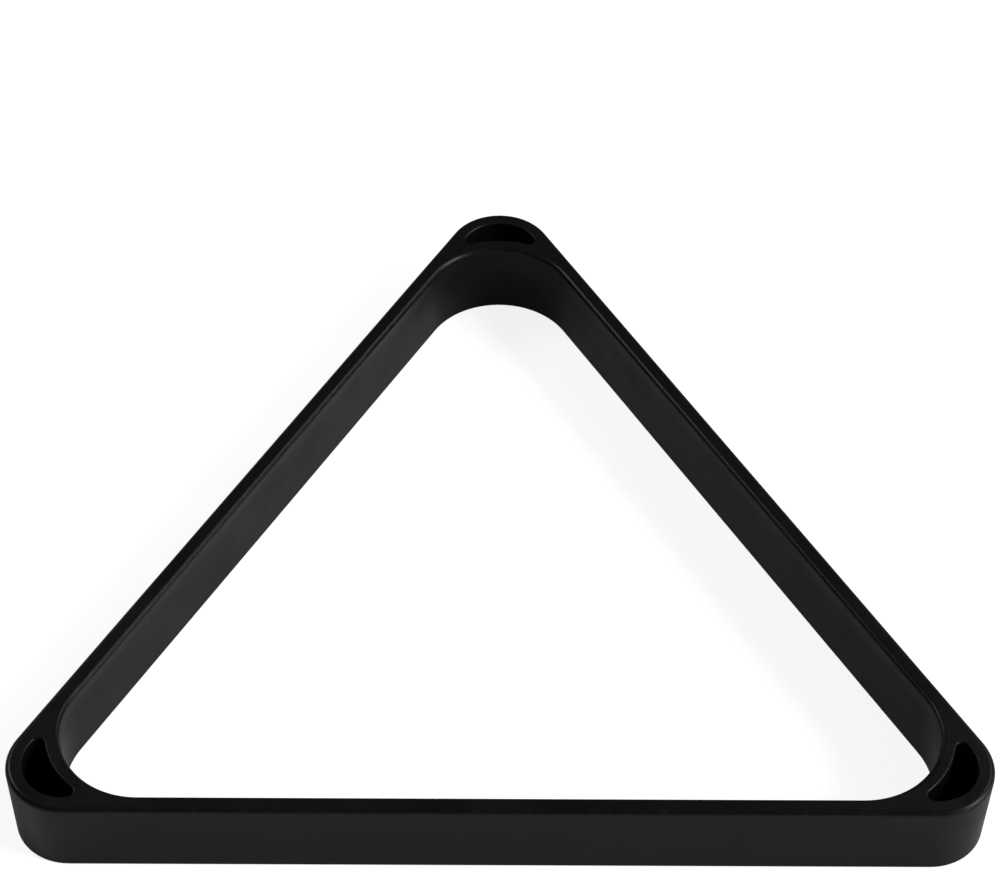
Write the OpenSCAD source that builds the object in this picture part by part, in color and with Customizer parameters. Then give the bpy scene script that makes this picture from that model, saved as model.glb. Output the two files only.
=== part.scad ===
// Triangle ball rack: one moulding, drawn as three straight rails and three hollowed corners
// that meet face to face. Millimetres. +Z is up, the apex corner points along +Y and the base
// rail lies along X. The origin is the middle of the footprint, on the surface it lies on.

/* [Balls] */
// Diameter of one ball
ball_d = 57.15; // [47:0.05:70]
// Balls along each side of the triangle
balls_per_side = 5; // [3:1:6]
// Gap left between the racked balls and each rail
ball_play = 0.6; // [0.2:0.1:3]
// How much tighter than a ball each inner corner is
corner_relief = 1.1; // [0:0.1:4]

/* [Rails] */
// Height of the rack
rack_h = 30.6; // [20:0.2:40]
// Thickness of a rail at the parting line, where it is widest
rail_t = 6.25; // [5:0.05:9]
// Draft of the walls below the parting line, in degrees
draft = 1.6; // [0:0.1:2]

/* [Corners] */
// Radius of each outer corner at the parting line
outer_corner_r = 19.8; // [14:0.1:24]
// Wall between a corner pocket and the outside
pocket_outer_wall = 5.5; // [3.5:0.1:7]
// Wall between a corner pocket and the ball triangle
pocket_inner_wall = 5; // [3.5:0.1:7]
// Radius of the two tips of a pocket
pocket_tip_r = 2.2; // [1:0.1:2.6]
// Material left under a pocket
pocket_floor = 4.7; // [1.5:0.1:10]

/* [Edges] */
// Radius of the upper edges, which begin at the parting line
top_edge_r = 1.9; // [0.6:0.1:2.4]
// Radius of the lower edges
bottom_edge_r = 0.6; // [0.2:0.1:1]

/* [Hidden] */
$fn = 96;

plastic = [0.035, 0.035, 0.037];
// How far a cut runs past the faces that it opens
overrun = 2;

// Each corner turns the wall through this angle
turn = 120;
// Directions in which the two rails beside the apex face outwards
right_facing = 30;
left_facing = right_facing + turn;

// Height of the parting line, and how far a wall leans in between it and the underside
parting_h = rack_h - top_edge_r;
lean = parting_h * tan(draft);

// Distances from the middle of the triangle to the parting line, measured square to a rail
ball_triangle_side = (balls_per_side - 1) * ball_d;
inner_apothem = ball_triangle_side / (2 * sqrt(3)) + ball_d / 2 + ball_play;
outer_apothem = inner_apothem + rail_t;

// Centres of the apex's inner and outer arcs, on the line through the middle and the apex
inner_corner_r = ball_d / 2 - corner_relief;
inner_centre = [0, 2 * (inner_apothem - inner_corner_r)];
outer_centre = [0, 2 * (outer_apothem - outer_corner_r)];

// A rail is straight between the ends of two inner arcs, and the outside of a corner carries on
// straight from its arc to the end of the rail
rail_length = inner_centre.y * sqrt(3);
shoulder_length = (outer_centre.y - inner_centre.y) * cos(right_facing);

// The footprint runs from the outer face of the base rail to the tip of the apex
apex_y = outer_centre.y + outer_corner_r;
middle_y = (apex_y - outer_apothem) / 2;

// A pocket is a disc inside the outer arc, less the bite of a disc around the inner arc
disc_r = outer_corner_r - pocket_outer_wall;
bite_r = inner_corner_r + pocket_inner_wall;
// The circle that rounds a tip touches both, so its distance from each centre is known
tip_from_outer = disc_r - pocket_tip_r;
tip_from_inner = bite_r + pocket_tip_r;
centre_gap = outer_centre.y - inner_centre.y;
tip_above_inner = (tip_from_inner ^ 2 - tip_from_outer ^ 2 + centre_gap ^ 2) / (2 * centre_gap);
tip = inner_centre + [sqrt(tip_from_inner ^ 2 - tip_above_inner ^ 2), tip_above_inner];

function mirrored(point) = [-point.x, point.y];
function stretched(from, to, ratio) = from + (to - from) * ratio;
function direction(angle) = [cos(angle), sin(angle)];

// What rounding leaves over of a square corner: the corner is towards +x and +y, and the round's
// centre is the origin
module edge_waste(r) {
    difference() {
        square(r + overrun);
        circle(r);
    }
}

// Section of a wall of width w, standing on y = 0. Its +x face leans in below the parting line,
// and the face's edges are rounded
module faced_section(w) {
    lower_edge_x = w - lean + bottom_edge_r * tan(draft) - bottom_edge_r;
    difference() {
        polygon([[0, 0], [w - lean, 0], [w, parting_h], [w, rack_h], [0, rack_h]]);
        translate([w - top_edge_r, parting_h]) edge_waste(top_edge_r);
        translate([lower_edge_x, bottom_edge_r]) mirror([0, 1]) edge_waste(bottom_edge_r);
    }
}

// Section of a rail, with both faces leaning and rounded
module rail_section() {
    intersection() {
        faced_section(rail_t);
        translate([rail_t, 0]) mirror([1, 0]) faced_section(rail_t);
    }
}

// Half section of the round opening at an inner corner. It is narrowest at the parting line
module opening_section() {
    difference() {
        translate([0, -overrun])
            square([inner_corner_r + rail_t / 2, rack_h + 2 * overrun]);
        translate([inner_corner_r, 0]) rail_section();
    }
}

// Outline of the apex's pocket: a crescent with round tips
module pocket_outline() {
    on_disc = stretched(outer_centre, tip, disc_r / tip_from_outer);
    on_bite = stretched(inner_centre, tip, bite_r / tip_from_inner);
    top = [on_disc.x, apex_y];
    // The crescent as far as its tips' circles, and then the circles
    intersection() {
        difference() {
            translate(outer_centre) circle(disc_r);
            translate(inner_centre) circle(bite_r);
        }
        polygon([
            top, on_disc, tip, on_bite, inner_centre,
            mirrored(on_bite), mirrored(tip), mirrored(on_disc), mirrored(top)
        ]);
    }
    translate(tip) circle(pocket_tip_r);
    translate(mirrored(tip)) circle(pocket_tip_r);
}

// The base rail
module rail() {
    color(plastic)
        translate([-rail_length / 2, -outer_apothem, 0])
            rotate([90, 0, 90]) linear_extrude(rail_length) rail_section();
}

// The outside of the apex beyond its arc, for the rail that faces the given way. It ends at
// the distance end along that rail, counted from the arc's centre
module shoulder(facing, end) {
    translate(outer_centre) rotate(facing)
        translate([0, end, 0]) rotate([90, 0, 0])
            linear_extrude(shoulder_length) faced_section(outer_corner_r);
}

// The apex, from the end of one rail to the end of the other
module corner() {
    shoulder_end = outer_centre + shoulder_length * direction(right_facing - 90);
    color(plastic) difference() {
        union() {
            translate(outer_centre) rotate(right_facing)
                rotate_extrude(angle = turn) faced_section(outer_corner_r);
            shoulder(right_facing, 0);
            shoulder(left_facing, shoulder_length);
            linear_extrude(rack_h)
                polygon([outer_centre, mirrored(shoulder_end), inner_centre, shoulder_end]);
        }
        translate(inner_centre) rotate_extrude() opening_section();
        translate([0, 0, pocket_floor]) linear_extrude(rack_h) pocket_outline();
    }
}

// Turns a piece about the middle of the triangle, then moves it into the rack's own frame
module placed(angle) {
    translate([0, -middle_y, 0]) rotate(angle) children();
}

module base_rail() { placed(0) rail(); }
module right_rail() { placed(turn) rail(); }
module left_rail() { placed(-turn) rail(); }
module apex_corner() { placed(0) corner(); }
module left_corner() { placed(turn) corner(); }
module right_corner() { placed(-turn) corner(); }

base_rail();
left_rail();
right_rail();
left_corner();
right_corner();
apex_corner();
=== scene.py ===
"""Triangle ball rack: the looks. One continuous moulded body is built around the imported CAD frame."""
import math

import bpy
from mathutils import Matrix, Vector


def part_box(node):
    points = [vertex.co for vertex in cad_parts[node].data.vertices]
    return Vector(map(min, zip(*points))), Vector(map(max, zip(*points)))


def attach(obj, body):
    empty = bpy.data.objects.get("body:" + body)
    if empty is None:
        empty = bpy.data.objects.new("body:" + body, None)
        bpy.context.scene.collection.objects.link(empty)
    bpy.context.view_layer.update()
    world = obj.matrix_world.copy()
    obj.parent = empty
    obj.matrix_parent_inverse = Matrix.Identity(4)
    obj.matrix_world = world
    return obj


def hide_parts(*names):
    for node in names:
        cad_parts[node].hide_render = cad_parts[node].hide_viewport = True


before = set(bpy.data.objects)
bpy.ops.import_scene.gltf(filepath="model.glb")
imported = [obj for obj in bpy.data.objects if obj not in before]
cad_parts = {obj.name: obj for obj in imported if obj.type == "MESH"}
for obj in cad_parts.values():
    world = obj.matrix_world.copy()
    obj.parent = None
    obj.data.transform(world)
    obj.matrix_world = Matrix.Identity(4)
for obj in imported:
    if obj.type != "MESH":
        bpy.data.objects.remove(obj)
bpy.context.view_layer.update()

MM = 0.001

# Details of the moulding, as in the CAD source
DRAFT = math.radians(1.6)
TOP_EDGE_R = 1.9 * MM
BOTTOM_EDGE_R = 0.6 * MM
POCKET_OUTER_WALL = 5.5 * MM
POCKET_INNER_WALL = 5.0 * MM
POCKET_TIP_R = 2.2 * MM
POCKET_FLOOR = 4.7 * MM

# Details that only the visible body has
RIM_R = 0.6 * MM
FLOOR_FILLET_R = 1.2 * MM
FLARE = 0.36 * MM
FLARE_H = 5.5 * MM

# How finely the body is divided
ARC_STEPS = 8
FLARE_STEPS = 8
WALL_STEPS = 5
RAIL_STEPS = 30
SHOULDER_STEPS = 10
TIP_STEPS = 7
POCKET_STEPS = 24

# A corner is the one before it, turned through this angle
TURN = 2 * math.pi / 3
# Direction in which the rail to the right of the apex faces outwards
RAIL_FACING = math.pi / 6
# How far the floor is below the rack, so that the two don't flicker
FLOOR_GAP = 0.02 * MM


# ---------------------------------------------------------------- sizes read from the frame

def direction(angle):
    """Unit vector in the plane."""
    return Vector((math.cos(angle), math.sin(angle)))


class Plan:
    """The rack's outlines at the parting line, in a plane whose origin is the triangle's middle
    and whose +Y points at the apex. The apex stands for all three corners."""

    def __init__(self):
        rail_low, rail_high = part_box("base_rail")
        apex_low, apex_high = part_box("apex_corner")
        self.height = rail_high.z - rail_low.z
        self.rail_t = rail_high.y - rail_low.y
        # The apex is widest at the outer corners of its two ends
        widest_r = (apex_high.x - apex_low.x) / 2 / math.cos(RAIL_FACING)
        self.inner_r = widest_r - self.rail_t
        # The centres of the inner arcs are as far apart as a rail is long
        rail_length = rail_high.x - rail_low.x
        self.inner_centre = Vector((0, rail_length / 2 / math.cos(RAIL_FACING)))
        inner_apothem = self.inner_centre.y / 2 + self.inner_r
        outer_apothem = inner_apothem + self.rail_t
        self.middle = Vector((0, rail_high.y + inner_apothem, 0))
        self.outer_r = self.middle.y + 2 * outer_apothem - apex_high.y
        self.outer_centre = Vector((0, 2 * (outer_apothem - self.outer_r)))
        self.parting_h = self.height - TOP_EDGE_R
        self.shoulder = (self.outer_centre - self.inner_centre).y * math.cos(RAIL_FACING)


plan = Plan()


# ---------------------------------------------------------------- sections of the wall

def lean_at(height, flare):
    """How far a wall lies behind the parting line at a height, and how steeply it leans there. The
    flare is what its upper part adds to the draft."""
    depth = plan.parting_h - height
    share = min(depth / FLARE_H, 1)
    slope = math.tan(DRAFT) - flare / plan.parting_h
    inset = depth * slope + flare * (1 - (1 - share) ** 2)
    return inset, slope + 2 * flare * (1 - share) / FLARE_H


def wall_profile(flare):
    """A wall from the edge of the underside to the edge of the top. Each row is how far the point
    is out of the outline, its height, and its normal's share outwards and up."""
    rows = []
    foot = lean_at(BOTTOM_EDGE_R, flare)[0]
    for i in range(ARC_STEPS + 1):
        angle = math.pi / 2 * (1 - i / ARC_STEPS)
        inset = foot + BOTTOM_EDGE_R * (1 - math.cos(angle))
        height = BOTTOM_EDGE_R * (1 - math.sin(angle))
        rows.append((-inset, height, math.cos(angle), -math.sin(angle)))
    flare_low = plan.parting_h - FLARE_H
    straight_h = flare_low - BOTTOM_EDGE_R
    heights = [BOTTOM_EDGE_R + straight_h * i / WALL_STEPS for i in range(1, WALL_STEPS + 1)]
    heights += [flare_low + FLARE_H * i / FLARE_STEPS for i in range(1, FLARE_STEPS + 1)]
    for height in heights:
        inset, slope = lean_at(height, flare)
        rows.append((-inset, height, 1, -slope))
    for i in range(1, ARC_STEPS + 1):
        angle = math.pi / 2 * i / ARC_STEPS
        inset = TOP_EDGE_R * (1 - math.cos(angle))
        height = plan.parting_h + TOP_EDGE_R * math.sin(angle)
        rows.append((-inset, height, math.cos(angle), math.sin(angle)))
    return rows


def pocket_profile():
    """A pocket's side from its rim to its floor, in rows like a wall's. The outline's normal points
    out of the pocket, and the surface faces the other way."""
    rows = []
    for i in range(ARC_STEPS + 1):
        angle = math.pi / 2 * i / ARC_STEPS
        offset = RIM_R * (1 - math.sin(angle))
        height = plan.height - RIM_R * (1 - math.cos(angle))
        rows.append((offset, height, -math.sin(angle), math.cos(angle)))
    top = plan.height - RIM_R
    bottom = POCKET_FLOOR + FLOOR_FILLET_R
    for i in range(1, WALL_STEPS):
        rows.append((0, top + (bottom - top) * i / WALL_STEPS, -1, 0))
    for i in range(ARC_STEPS + 1):
        angle = math.pi / 2 * i / ARC_STEPS
        offset = -FLOOR_FILLET_R * (1 - math.cos(angle))
        height = bottom - FLOOR_FILLET_R * math.sin(angle)
        rows.append((offset, height, -math.cos(angle), math.sin(angle)))
    return rows


# ---------------------------------------------------------------- outlines of a corner

def arc(centre, radius, start, end, steps, side=1):
    """Points on an arc, each with its normal; side -1 turns the normals towards the centre."""
    out = []
    for i in range(steps + 1):
        out_way = direction(start + (end - start) * i / steps)
        out.append((centre + out_way * radius, out_way * side))
    return out


def mirrored(points):
    """The same stretch of an outline on the apex's other side, in the order that carries it on."""
    return [(Vector((-p.x, p.y)), Vector((-n.x, n.y))) for p, n in reversed(points)]


def pocket_sides():
    """The pocket's outline from its right tip to its left, along the outside and along the inside.
    Each has the same number of points, and each point has its normal out of the pocket."""
    disc_r = plan.outer_r - POCKET_OUTER_WALL
    bite_r = plan.inner_r + POCKET_INNER_WALL
    gap = (plan.outer_centre - plan.inner_centre).y
    # The circle that rounds a tip touches the disc and the bite
    to_outer = disc_r - POCKET_TIP_R
    to_inner = bite_r + POCKET_TIP_R
    rise = (to_inner ** 2 - to_outer ** 2 + gap ** 2) / (2 * gap)
    tip = plan.inner_centre + Vector((math.sqrt(to_inner ** 2 - rise ** 2), rise))
    away = tip - plan.outer_centre
    disc_angle = math.atan2(away.y, away.x)
    away = tip - plan.inner_centre
    bite_angle = math.atan2(away.y, away.x)
    # The two sides begin together, half-way round the tip
    end_angle = (disc_angle + bite_angle - math.pi) / 2
    middle_angle = math.pi / 2
    steps = POCKET_STEPS // 2
    tip_out = arc(tip, POCKET_TIP_R, end_angle, disc_angle, TIP_STEPS)
    disc = arc(plan.outer_centre, disc_r, disc_angle, middle_angle, steps)
    tip_in = arc(tip, POCKET_TIP_R, end_angle, bite_angle - math.pi, TIP_STEPS)
    bite = arc(plan.inner_centre, bite_r, bite_angle, middle_angle, steps, side=-1)
    outside = tip_out + disc[1:]
    inside = tip_in + bite[1:]
    return outside + mirrored(outside[:-1]), inside + mirrored(inside[:-1])


def corner_stations(outside, inside):
    """The apex from its right end to its left: inner and outer outline points with their normals
    out of the material. outside and inside are the pocket's, and each of their points has a station."""
    end_point, end_normal = outside[0]
    tip_end = end_point + end_normal * RIM_R
    side_way = direction(RAIL_FACING)
    along = direction(RAIL_FACING - math.pi / 2)
    arc_start = plan.outer_centre + side_way * plan.outer_r
    # Beside the pocket, the inside's stations lie square to the pocket's rim
    inner = []
    for point, normal in inside:
        out_way = (point + normal * RIM_R - plan.inner_centre).normalized()
        inner.append((plan.inner_centre + out_way * plan.inner_r, -out_way))
    # The outside is straight as far as the arc's start, just past the tip's rounding
    straight_steps = TIP_STEPS + 1
    reach = (tip_end - arc_start).dot(along)
    outer = []
    for i in range(straight_steps):
        outer.append((arc_start + along * reach * (1 - i / straight_steps), side_way))
    arc_steps = len(outside) - 1 - 2 * straight_steps
    bend = arc(plan.outer_centre, plan.outer_r, RAIL_FACING, math.pi - RAIL_FACING, arc_steps)
    outer = outer + bend + mirrored(outer)
    # Between the pocket's tip and the rail
    inner_angle = math.atan2(-inner[0][1].y, -inner[0][1].x)
    shoulder_inner, shoulder_outer = [], []
    for i in range(SHOULDER_STEPS):
        share = i / SHOULDER_STEPS
        out_way = direction(RAIL_FACING + (inner_angle - RAIL_FACING) * share)
        shoulder_inner.append((plan.inner_centre + out_way * plan.inner_r, -out_way))
        to_arc = plan.shoulder + (reach - plan.shoulder) * share
        shoulder_outer.append((arc_start + along * to_arc, side_way))
    return (
        shoulder_inner + inner + mirrored(shoulder_inner),
        shoulder_outer + outer + mirrored(shoulder_outer),
    )


# ---------------------------------------------------------------- the body's mesh

class Body:
    """Collects points with their exact normals, and the quads between them."""

    def __init__(self):
        self.points = []
        self.normals = []
        self.faces = []

    def add(self, flat, height, normal):
        """flat is measured from the triangle's middle; returns the point's number."""
        self.points.append(plan.middle + Vector((flat.x, flat.y, height)))
        self.normals.append(normal.normalized())
        return len(self.points) - 1

    def strip(self, first, second):
        """Quads between two rows of the same length. A quad with a doubled point is a triangle."""
        for a, b, c, d in zip(first, second, second[1:], first[1:]):
            face = [n for i, n in enumerate((a, b, c, d)) if n not in (a, b, c, d)[:i]]
            if len(face) > 2:
                self.faces.append(face)

    def mesh(self, name):
        mesh = bpy.data.meshes.new(name)
        mesh.from_pydata(self.points, [], self.faces)
        mesh.polygons.foreach_set("use_smooth", [True] * len(mesh.polygons))
        mesh.update()
        mesh.normals_split_custom_set_from_vertices(self.normals)
        return mesh


def turned(vector, angle):
    return Matrix.Rotation(angle, 2) @ vector


def column(body, point, normal, angle, rows):
    """One station's points up a wall, or down a pocket's side."""
    point, normal = turned(point, angle), turned(normal, angle)
    points = []
    for offset, height, out, up in rows:
        points.append(body.add(point + normal * offset, height, Vector((*(normal * out), up))))
    return points


def halfway(body, first, second, up):
    """A point between two others, where the surface faces straight up or down."""
    centre = (body.points[first] + body.points[second]) / 2 - plan.middle
    return body.add(centre.xy, centre.z, Vector((0, 0, up)))


def section(body, inner_point, outer_point, angle, profiles, rim=None):
    """One station: the inner wall, the outer wall, the middle of the underside, and where the top
    ends inside and outside. Those two are on the pocket's rim, or both the middle of the top."""
    inner = column(body, *inner_point, angle, profiles[0])
    outer = column(body, *outer_point, angle, profiles[1])
    low = halfway(body, inner[0], outer[0], -1)
    if rim is None:
        ridge = halfway(body, inner[-1], outer[-1], 1)
        rim = ridge, ridge
    return inner, outer, low, rim[0], rim[1]


def join_columns(body, columns):
    """Quads between neighbouring columns."""
    for first, second in zip(columns, columns[1:]):
        body.strip(first, second)


def build_pocket(body, outside, inside, angle):
    """One pocket's sides and floor, which share the columns at the tips. Returns the rim's points
    as pairs, the inside's first."""
    rows = pocket_profile()
    outer = [column(body, *station, angle, rows) for station in outside]
    inner = [column(body, *station, angle, rows) for station in inside[1:-1]]
    inner = [outer[0], *inner, outer[-1]]
    join_columns(body, outer)
    join_columns(body, inner[::-1])
    body.strip([c[-1] for c in inner], [c[-1] for c in outer])
    return [(i[0], o[0]) for i, o in zip(inner, outer)]


def build_body():
    """The whole moulding, station by station around the triangle."""
    body = Body()
    profiles = wall_profile(FLARE), wall_profile(0)
    outside, inside = pocket_sides()
    inner_line, outer_line = corner_stations(outside, inside)
    no_pocket = [None] * SHOULDER_STEPS
    stations = []
    for corner in range(3):
        angle = corner * TURN
        rims = no_pocket + build_pocket(body, outside, inside, angle) + no_pocket
        for inner_point, outer_point, rim in zip(inner_line, outer_line, rims):
            stations.append(section(body, inner_point, outer_point, angle, profiles, rim))
        # The rail from this corner's left end to the next corner's right end
        start = inner_line[-1], outer_line[-1]
        end = [(turned(p, TURN), turned(n, TURN)) for p, n in (inner_line[0], outer_line[0])]
        for i in range(1, RAIL_STEPS):
            share = i / RAIL_STEPS
            ends = [(a[0].lerp(b[0], share), a[1]) for a, b in zip(start, end)]
            stations.append(section(body, ends[0], ends[1], angle, profiles))
    stations.append(stations[0])
    inner, outer, low, high_inner, high_outer = zip(*stations)
    join_columns(body, outer)
    join_columns(body, inner[::-1])
    body.strip([c[-1] for c in inner], high_inner)
    body.strip(high_outer, [c[-1] for c in outer])
    body.strip(low, [c[0] for c in inner])
    body.strip([c[0] for c in outer], low)
    return body.mesh("rack")


# ---------------------------------------------------------------- material

class Graph:
    """Adds nodes to a material. Each method returns the output of the node that it adds."""

    def __init__(self, material):
        material.use_nodes = True
        self.nodes = material.node_tree.nodes
        self.links = material.node_tree.links
        self.shader = self.nodes["Principled BSDF"]
        self.place = self.nodes.new("ShaderNodeTexCoord").outputs["Object"]

    def noise(self, scale, detail, stretch=None):
        node = self.nodes.new("ShaderNodeTexNoise")
        node.inputs["Scale"].default_value = scale
        node.inputs["Detail"].default_value = detail
        place = self.place
        if stretch is not None:
            mapping = self.nodes.new("ShaderNodeMapping")
            mapping.inputs["Scale"].default_value = stretch
            mapping.inputs["Rotation"].default_value = (0.4, 0.2, 0.7)
            self.links.new(self.place, mapping.inputs["Vector"])
            place = mapping.outputs["Vector"]
        self.links.new(place, node.inputs["Vector"])
        return node.outputs["Fac"]

    def ramp(self, value, low, high, to_low=0.0, to_high=1.0):
        node = self.nodes.new("ShaderNodeMapRange")
        node.inputs["From Min"].default_value = low
        node.inputs["From Max"].default_value = high
        node.inputs["To Min"].default_value = to_low
        node.inputs["To Max"].default_value = to_high
        self.links.new(value, node.inputs["Value"])
        return node.outputs["Result"]

    def combine(self, operation, first, second):
        node = self.nodes.new("ShaderNodeMath")
        node.operation = operation
        self.links.new(first, node.inputs[0])
        self.links.new(second, node.inputs[1])
        return node.outputs["Value"]

    def bump(self, height, strength, distance, before=None):
        node = self.nodes.new("ShaderNodeBump")
        node.inputs["Strength"].default_value = strength
        node.inputs["Distance"].default_value = distance
        self.links.new(height, node.inputs["Height"])
        if before is not None:
            self.links.new(before, node.inputs["Normal"])
        return node.outputs["Normal"]

    def blend(self, factor, first, second):
        node = self.nodes.new("ShaderNodeMix")
        node.data_type = "RGBA"
        node.inputs["A"].default_value = first
        node.inputs["B"].default_value = second
        self.links.new(factor, node.inputs["Factor"])
        return node.outputs["Result"]

    def upward(self):
        """How far up the surface faces: 1 on level tops, 0 on upright walls."""
        parts = self.nodes.new("ShaderNodeSeparateXYZ")
        geometry = self.nodes.new("ShaderNodeNewGeometry")
        self.links.new(geometry.outputs["Normal"], parts.inputs["Vector"])
        return parts.outputs["Z"]


def black_plastic():
    """Semi-gloss black moulded plastic: a slightly wavy skin, cloudy gloss, fine grain, hairline
    scratches, and edges rubbed a little lighter and duller."""
    material = bpy.data.materials.new("black_plastic")
    graph = Graph(material)
    sockets = graph.shader.inputs
    sockets["IOR"].default_value = 1.5
    sockets["Specular IOR Level"].default_value = 0.38

    # Only rounded edges face between level and upright
    tilt = graph.upward()
    on_edge = graph.combine("MULTIPLY", graph.ramp(tilt, 0.25, 0.6), graph.ramp(tilt, 0.97, 0.8))
    patches = graph.ramp(graph.noise(scale=260, detail=5), 0.5, 0.72)
    rubbed = graph.combine("MULTIPLY", on_edge, patches)
    scratches = graph.ramp(graph.noise(scale=30, detail=2, stretch=(6, 60, 90)), 0.66, 0.74)

    black = (0.0098, 0.0098, 0.0105, 1)
    rubbed_black = (0.019, 0.019, 0.02, 1)
    graph.links.new(graph.blend(rubbed, black, rubbed_black), sockets["Base Color"])

    cloudy = graph.ramp(graph.noise(scale=48, detail=4), 0.32, 0.68, 0.23, 0.4)
    worn = graph.ramp(rubbed, 0, 1, 0, 0.12)
    marks = graph.ramp(scratches, 0, 1, 0, 0.08)
    roughness = graph.combine("ADD", graph.combine("ADD", cloudy, worn), marks)
    graph.links.new(roughness, sockets["Roughness"])

    skin = graph.bump(graph.noise(scale=24, detail=2), 1.0, 0.5 * MM)
    grain = graph.bump(graph.noise(scale=2400, detail=2), 0.5, 0.006 * MM, skin)
    graph.links.new(graph.bump(scratches, 0.25, 0.004 * MM, grain), sockets["Normal"])
    return material


# ---------------------------------------------------------------- stage, lights and camera

def seen_and_lit(nodes, links, seen, lit):
    """A brightness that is one value in the picture and another as light on the rack."""
    path = nodes.new("ShaderNodeLightPath")
    glow = nodes.new("ShaderNodeMapRange")
    glow.inputs["To Min"].default_value = lit
    glow.inputs["To Max"].default_value = seen
    links.new(path.outputs["Is Camera Ray"], glow.inputs["Value"])
    return glow.outputs["Result"]


def plain_floor():
    """A floor that is white in the picture, like a cut-out's background, and far darker as light."""
    mesh = bpy.data.meshes.new("floor")
    reach = 4.0
    corners = [(-reach, -reach, 0), (reach, -reach, 0), (reach, reach, 0), (-reach, reach, 0)]
    mesh.from_pydata(corners, [], [(0, 1, 2, 3)])
    floor = bpy.data.objects.new("floor", mesh)
    floor.location.z = -FLOOR_GAP
    bpy.context.scene.collection.objects.link(floor)
    material = bpy.data.materials.new("pale_floor")
    material.use_nodes = True
    nodes, links = material.node_tree.nodes, material.node_tree.links
    shader = nodes["Principled BSDF"]
    shader.inputs["Base Color"].default_value = (0.8, 0.8, 0.8, 1)
    shader.inputs["Roughness"].default_value = 1.0
    shader.inputs["Specular IOR Level"].default_value = 0.0
    shader.inputs["Emission Color"].default_value = (1, 1, 1, 1)
    links.new(seen_and_lit(nodes, links, seen=0.85, lit=0.06), shader.inputs["Emission Strength"])
    mesh.materials.append(material)


def sun(name, towards, angle, strength):
    """A distant light, and the direction in which it lies."""
    light = bpy.data.lights.new(name, "SUN")
    light.energy = strength
    light.angle = angle
    lamp = bpy.data.objects.new(name, light)
    lamp.rotation_euler = Vector(towards).to_track_quat("Z", "Y").to_euler()
    bpy.context.scene.collection.objects.link(lamp)


def panel(name, place, size, power):
    """A soft rectangular light, aimed at the rack."""
    light = bpy.data.lights.new(name, "AREA")
    light.shape = "RECTANGLE"
    light.size, light.size_y = size
    light.energy = power
    lamp = bpy.data.objects.new(name, light)
    lamp.location = place
    lamp.rotation_euler = (Vector((0, 0, 0)) - Vector(place)).to_track_quat("-Z", "Y").to_euler()
    bpy.context.scene.collection.objects.link(lamp)


def studio():
    """White surroundings in the picture that barely light the rack, and the lights that do."""
    world = bpy.data.worlds.new("studio")
    world.use_nodes = True
    nodes, links = world.node_tree.nodes, world.node_tree.links
    background = nodes["Background"]
    background.inputs["Color"].default_value = (1, 1, 1, 1)
    links.new(seen_and_lit(nodes, links, seen=1.0, lit=0.05), background.inputs["Strength"])
    bpy.context.scene.world = world
    panel("right_window", place=(0.82, 0.5, 0.92), size=(0.6, 0.45), power=1.35)
    panel("left_window", place=(-0.88, 0.55, 0.93), size=(0.6, 0.45), power=1.9)
    sun("key", towards=(0.775, -0.19, 0.60), angle=math.radians(20), strength=0.87)
    panel("low_right", place=(1.4, -0.55, 0.2), size=(1.4, 0.4), power=3.2)


def camera():
    """The photograph's viewpoint: above the base rail, looking down over it at the apex."""
    distance = 1.1352
    elevation, azimuth, roll = (math.radians(a) for a in (46.5, -0.58, 0.715))
    # The picture's middle is well behind the rack's own
    target = plan.middle + Vector((0.222, 94.429, 0)) * MM
    back = Vector((
        math.sin(azimuth) * math.cos(elevation),
        -math.cos(azimuth) * math.cos(elevation),
        math.sin(elevation),
    ))
    right = Vector((math.cos(azimuth), math.sin(azimuth), 0))
    up = back.cross(right)
    right, up = (
        right * math.cos(roll) + up * math.sin(roll),
        up * math.cos(roll) - right * math.sin(roll),
    )
    data = bpy.data.cameras.new("camera")
    data.sensor_width = 36.0
    data.lens = 109.762
    view = bpy.data.objects.new("camera", data)
    view.matrix_world = Matrix((right, up, back)).transposed().to_4x4()
    view.location = target + back * distance
    bpy.context.scene.collection.objects.link(view)
    bpy.context.scene.camera = view


# ---------------------------------------------------------------- the scene

camera()
studio()
plain_floor()

rack = bpy.data.objects.new("rack", build_body())
bpy.context.scene.collection.objects.link(rack)
rack.data.materials.append(black_plastic())
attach(rack, "root")
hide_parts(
    "base_rail", "left_rail", "right_rail", "left_corner", "right_corner", "apex_corner"
)

bpy.context.scene.view_settings.view_transform = "Standard"
